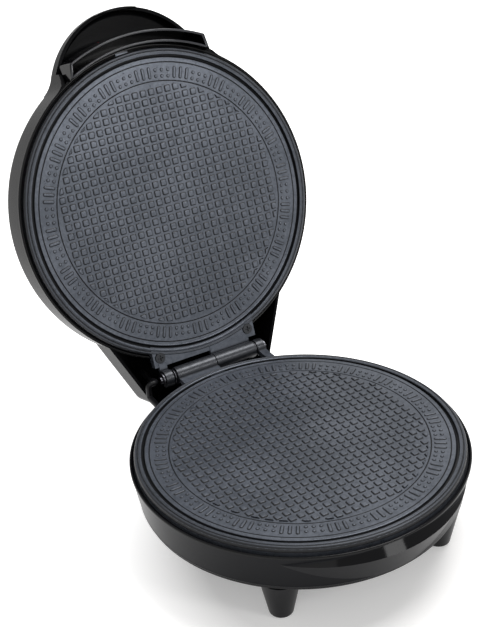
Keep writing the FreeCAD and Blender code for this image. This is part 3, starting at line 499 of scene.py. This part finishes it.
rims = {
    # radius and height above the face, both in mm, then how much painted shade lies there: dark
    # in the moat and grooves, on the skirt and in lines on the ring
    "plateRing": [(96.30, -1.7, 1), (96.38, -0.3, 1), (96.55, 0.12, 0.5), (96.8, 0.34, 0),
                  (97.2, 0.44, 0.3), (97.8, 0.44, 0.45), (98.2, 0.38, 0.6), (98.5, 0.05, 1),
                  (98.78, -0.34, 1), (99.05, -0.05, 1), (99.35, 0.18, 0.8), (99.8, 0.24, 0.35),
                  (100.2, 0.14, 0.8), (100.7, -0.30, 1), (101.05, -1.1, 1), (101.05, -3.2, 1)],
    "moat": [(93.5, -0.04, 0), (93.8, 0.08, 0), (94.15, 0.1, 0), (94.38, -0.1, 0.6),
             (94.5, -0.5, 1), (94.55, -1.7, 1), (96.32, -1.7, 1)],
    "grooves": [[(79.22, 0.02, 0.2), (79.4, -0.1, 1), (79.48, -0.42, 1), (79.92, -0.42, 1),
                 (80.0, -0.1, 1), (80.18, 0.02, 0.2)],
                [(91.12, 0.02, 0.2), (91.3, -0.1, 1), (91.38, -0.42, 1), (91.82, -0.42, 1),
                 (91.9, -0.1, 1), (92.08, 0.02, 0.2)]],
    # radius and height above the counter
    "baseRim": [(104.05, 52.3), (104.07, 53.1), (103.92, 53.6), (103.55, 53.9), (103.1, 53.86),
                (102.75, 53.5), (102.3, 52.9), (101.95, 52.4)],
    "wallFoot": [(100.12, 30.6), (100.1, 30.0), (99.9, 29.4), (99.5, 28.95), (98.9, 28.72)],
    "lidRim": [(103.86, 63.9), (103.86, 63.2), (103.7, 62.72), (103.3, 62.44), (102.6, 62.4),
               (102.1, 62.6), (101.9, 63.2)],
    "segments": 240,
}
washers = {
    "inner": 2.6, "outer": 5.1, "thick": 0.9, "edge": 0.25,
    "places": (-28.5, 33.4),
}


def lathe(profile, segments, lift=0.0, flip=False, mesh=None):
    # a third value in the profile is how much painted shade lies there
    mesh = mesh or bmesh.new()
    layer = mesh.verts.layers.float.get("paintedShade") or mesh.verts.layers.float.new("paintedShade")
    loops = []
    for radius, height, *shadeAmount in profile:
        z = (lift - height * mm) if flip else (lift + height * mm)
        loops.append([mesh.verts.new((radius * mm * math.cos(math.tau * k / segments),
                                      radius * mm * math.sin(math.tau * k / segments), z))
                      for k in range(segments)])
        for vertex in loops[-1]:
            vertex[layer] = shadeAmount[0] if shadeAmount else 0.0
    for below, above in zip(loops, loops[1:]):
        for i in range(segments):
            j = (i + 1) % segments
            mesh.faces.new((below[i], below[j], above[j], above[i]))
    return mesh


def ringLines(lift, flip=False):
    mesh = lathe(rims["moat"], rims["segments"], lift, flip)
    for groove in rims["grooves"]:
        lathe(groove, rims["segments"], lift, flip, mesh)
    return mesh


crown = {
    "top": 96.0, "curve": 1000.0, "reach": 60.0,   # mm, the lid's dome
    "proud": 0.05, "steps": 10,
}


def lidCrown():
    # a skin just above the dome, from the middle outwards
    profile = []
    for k in range(crown["steps"]):
        radius = 0.6 + (crown["reach"] - 0.6) * k / (crown["steps"] - 1)
        drop = crown["curve"] - math.sqrt(crown["curve"] ** 2 - radius ** 2)
        proud = -crown["proud"] if k == crown["steps"] - 1 else crown["proud"]
        profile.append((radius, crown["top"] - drop + proud))
    mesh = lathe(profile, 96)
    mesh.verts.ensure_lookup_table()
    mesh.faces.new([mesh.verts[k] for k in range(96)])
    return mesh


count = rims["segments"]
finishMesh("lowerPlateRing", lathe(rims["plateRing"], count, faceHeight), coating, "base")
finishMesh("upperPlateRing", lathe(rims["plateRing"], count, faceHeight + plateGap, True),
           coating, "lid", True)
finishMesh("lowerRingLines", ringLines(faceHeight), coating, "base")
finishMesh("upperRingLines", ringLines(faceHeight + plateGap, True), coating, "lid",
           True)
finishMesh("baseRimEdge", lathe(rims["baseRim"], count), gloss, "base")
finishMesh("wallFootEdge", lathe(rims["wallFoot"], count), finishes["base_housing"], "base")
finishMesh("lidRimEdge", lathe(rims["lidRim"], count), gloss, "lid", True)


finishMesh("lidCrown", lidCrown(), finishes["lid_shell"], "lid", True)


def hingeWasher(x):
    # a thin ring on the pin with softened corners
    inner, outer, half, edge = (washers[k] for k in ("inner", "outer", "thick", "edge"))
    half /= 2
    section = [(inner, -half), (outer - edge, -half), (outer, -half + edge),
               (outer, half - edge), (outer - edge, half), (inner, half)]
    mesh = lathe([(r, h) for r, h in section], 48)
    bmesh.ops.rotate(mesh, verts=mesh.verts, matrix=Matrix.Rotation(math.pi / 2, 3, "Y"))
    bmesh.ops.translate(mesh, verts=mesh.verts, vec=(x * mm, hingeAxis.y, hingeAxis.z))
    return mesh


trayEdge = {
    "rim": 57.0, "inner": 104.95, "outer": 111.85,     # mm, middle of each wall
    "innerTurn": 27.6, "outerTurn": 24.6,              # degrees each side of the front
    "width": 0.74, "rise": 0.30, "steps": 48,
}


def trayBead():
    path = []
    for radius, turn, way in ((trayEdge["inner"], trayEdge["innerTurn"], 1),
                              (trayEdge["outer"], trayEdge["outerTurn"], -1)):
        for k in range(trayEdge["steps"] + 1):
            a = math.radians(way * turn * (2 * k / trayEdge["steps"] - 1) - 90)
            path.append(Vector((radius * math.cos(a), radius * math.sin(a), 0)) * mm)
    mesh = bmesh.new()
    loops = []
    for before, here, after in zip(path[-1:] + path, path, path[1:] + path[:1]):
        across = (after - before).cross(Vector((0, 0, 1))).normalized()
        loop = []
        for k in range(8):
            turn = math.tau * k / 8
            loop.append(mesh.verts.new(
                here + across * (trayEdge["width"] * mm * math.cos(turn))
                + Vector((0, 0, (trayEdge["rim"] + trayEdge["rise"] * math.sin(turn)) * mm))))
        loops.append(loop)
    for here, after in zip(loops, loops[1:] + loops[:1]):
        for i in range(8):
            j = (i + 1) % 8
            mesh.faces.new((here[i], here[j], after[j], after[i]))
    return mesh


# painted highlight: the bead's black is lighter than the other gloss blacks, to show as a thin
# light line along the liner's edge
trayHighlightGloss = glossBlack("trayEdgePaintedHighlight", (0.022, 0.023, 0.027), 1.40)
finishMesh("trayBead", trayBead(), trayHighlightGloss, "lid", True)

for index, x in enumerate(washers["places"]):
    finishMesh(f"hingeWasher{index}", hingeWasher(x), washerSteel, "base")
print("rims and washers")

# Camera

shot = {
    "azimuth": -28.58,
    "elevation": 29.66,
    "roll": -3.33,
    "distance": 0.8028,
    "shiftRight": 0.0364,
    "shiftUp": -0.0774,
    "lens": 75.68,
}
azimuth, elevation = math.radians(shot["azimuth"]), math.radians(shot["elevation"])
back = Vector((math.sin(azimuth) * math.cos(elevation),
               -math.cos(azimuth) * math.cos(elevation), math.sin(elevation)))
level = Vector((0, 0, 1)).cross(back).normalized()
upright = back.cross(level)
roll = math.radians(shot["roll"])
right = level * math.cos(roll) + upright * math.sin(roll)
up = upright * math.cos(roll) - level * math.sin(roll)
eye = (Vector((0, 0, faceHeight)) + back * shot["distance"]
       - right * shot["shiftRight"] - up * shot["shiftUp"])
camera = bpy.data.objects.new("camera", bpy.data.cameras.new("camera"))
camera.data.lens = shot["lens"]
camera.data.sensor_width = 36
camera.data.sensor_fit = "AUTO"
camera.data.clip_start, camera.data.clip_end = 0.05, 20
camera.matrix_world = Matrix(((right.x, up.x, back.x, eye.x), (right.y, up.y, back.y, eye.y),
                              (right.z, up.z, back.z, eye.z), (0, 0, 0, 1)))
bpy.context.collection.objects.link(camera)
bpy.context.scene.camera = camera

# Floor and light

studio = {
    "floor": 4.0,
    "floorTone": (0.82, 0.81, 0.80),
    "floorGlow": 0.30,
    "shadowCentre": (0.0, -0.04, 0),
    "clearFrom": 0.080, "clearTo": 0.150,   # the glow grows to full between these
    "world": 0.37,
    "key": {"at": (0.55, 0.05, 1.5), "size": (0.7, 0.7), "power": 16.5},
    "window": {"at": (0.56, -1.22, 0.95), "size": (0.34, 0.34), "power": 4.0},
    "front": {"at": (-0.9, -1.2, 1.3), "size": (0.9, 0.9), "power": 3.0},
}


def floorMaterial():
    s = Shader("paleFloor")
    speck = s.noise(6, 2)
    tone = studio["floorTone"]
    s.set(colour=s.ramp(speck, [(0.3, tuple(c * 0.985 for c in tone)), (0.7, tone)]), rough=0.9,
          specular=0.0)
    path = s.add("ShaderNodeLightPath")
    seen = s.add("ShaderNodeMath", operation="MAXIMUM")
    s.link(path.outputs["Is Camera Ray"], seen.inputs[0])
    s.link(path.outputs["Is Glossy Ray"], seen.inputs[1])
    seenThrough = s.add("ShaderNodeMath", operation="MAXIMUM")
    s.link(seen.outputs[0], seenThrough.inputs[0])
    s.link(path.outputs["Is Transmission Ray"], seenThrough.inputs[1])
    glow = s.add("ShaderNodeEmission")
    glow.inputs["Color"].default_value = (1, 1, 1, 1)
    strength = s.add("ShaderNodeMath", operation="MULTIPLY")
    offset = s.add("ShaderNodeVectorMath", operation="SUBTRACT")
    offset.inputs[1].default_value = studio["shadowCentre"]
    s.link(s.coords.outputs["Object"], offset.inputs[0])
    away = s.add("ShaderNodeVectorMath", operation="LENGTH")
    s.link(offset.outputs[0], away.inputs[0])
    s.link(s.remap(away.outputs["Value"], studio["floorGlow"], 1.0, studio["clearFrom"],
                   studio["clearTo"]), strength.inputs[1])
    s.link(seenThrough.outputs[0], strength.inputs[0])
    s.link(strength.outputs[0], glow.inputs["Strength"])
    both = s.add("ShaderNodeAddShader")
    s.link(s.main.outputs[0], both.inputs[0])
    s.link(glow.outputs[0], both.inputs[1])
    s.link(both.outputs[0], s.out.inputs[0])
    return s.material


floorMesh = bmesh.new()
bmesh.ops.create_circle(floorMesh, cap_ends=True, radius=studio["floor"], segments=64)
floorData = bpy.data.meshes.new("floor")
floorMesh.to_mesh(floorData)
floorMesh.free()
floorData.materials.append(floorMaterial())
floor = bpy.data.objects.new("floor", floorData)
floor.location.z = cadBox[0].z
bpy.context.collection.objects.link(floor)


def softbox(name, at, size, power):
    lamp = bpy.data.lights.new(name, "AREA")
    lamp.shape = "RECTANGLE"
    lamp.size, lamp.size_y = size
    lamp.energy = power
    holder = bpy.data.objects.new(name, lamp)
    holder.location = at
    aim = Vector((0, 0.05, 0.1)) - Vector(at)
    holder.rotation_euler = aim.to_track_quat("-Z", "Y").to_euler()
    bpy.context.collection.objects.link(holder)
    return holder


for name in ("key", "window", "front"):
    softbox(name + "Softbox", studio[name]["at"], studio[name]["size"], studio[name]["power"])

world = bpy.data.worlds.new("studio")
bpy.context.scene.world = world
world.use_nodes = True
tree = world.node_tree
tree.nodes.clear()
worldOut = tree.nodes.new("ShaderNodeOutputWorld")
ambient = tree.nodes.new("ShaderNodeBackground")
ambient.inputs["Color"].default_value = (1, 1, 1, 1)
ambient.inputs["Strength"].default_value = studio["world"]
white = tree.nodes.new("ShaderNodeBackground")
white.inputs["Color"].default_value = (1, 1, 1, 1)
white.inputs["Strength"].default_value = 1.0
choose = tree.nodes.new("ShaderNodeMixShader")
path = tree.nodes.new("ShaderNodeLightPath")
seen = tree.nodes.new("ShaderNodeMath")
seen.operation = "MAXIMUM"
tree.links.new(path.outputs["Is Camera Ray"], seen.inputs[0])
tree.links.new(path.outputs["Is Glossy Ray"], seen.inputs[1])
seenThrough = tree.nodes.new("ShaderNodeMath")
seenThrough.operation = "MAXIMUM"
tree.links.new(seen.outputs[0], seenThrough.inputs[0])
tree.links.new(path.outputs["Is Transmission Ray"], seenThrough.inputs[1])
tree.links.new(seenThrough.outputs[0], choose.inputs[0])
tree.links.new(ambient.outputs[0], choose.inputs[1])
tree.links.new(white.outputs[0], choose.inputs[2])
tree.links.new(choose.outputs[0], worldOut.inputs[0])

bpy.context.scene.view_settings.view_transform = "Standard"
print("camera, floor and light set")
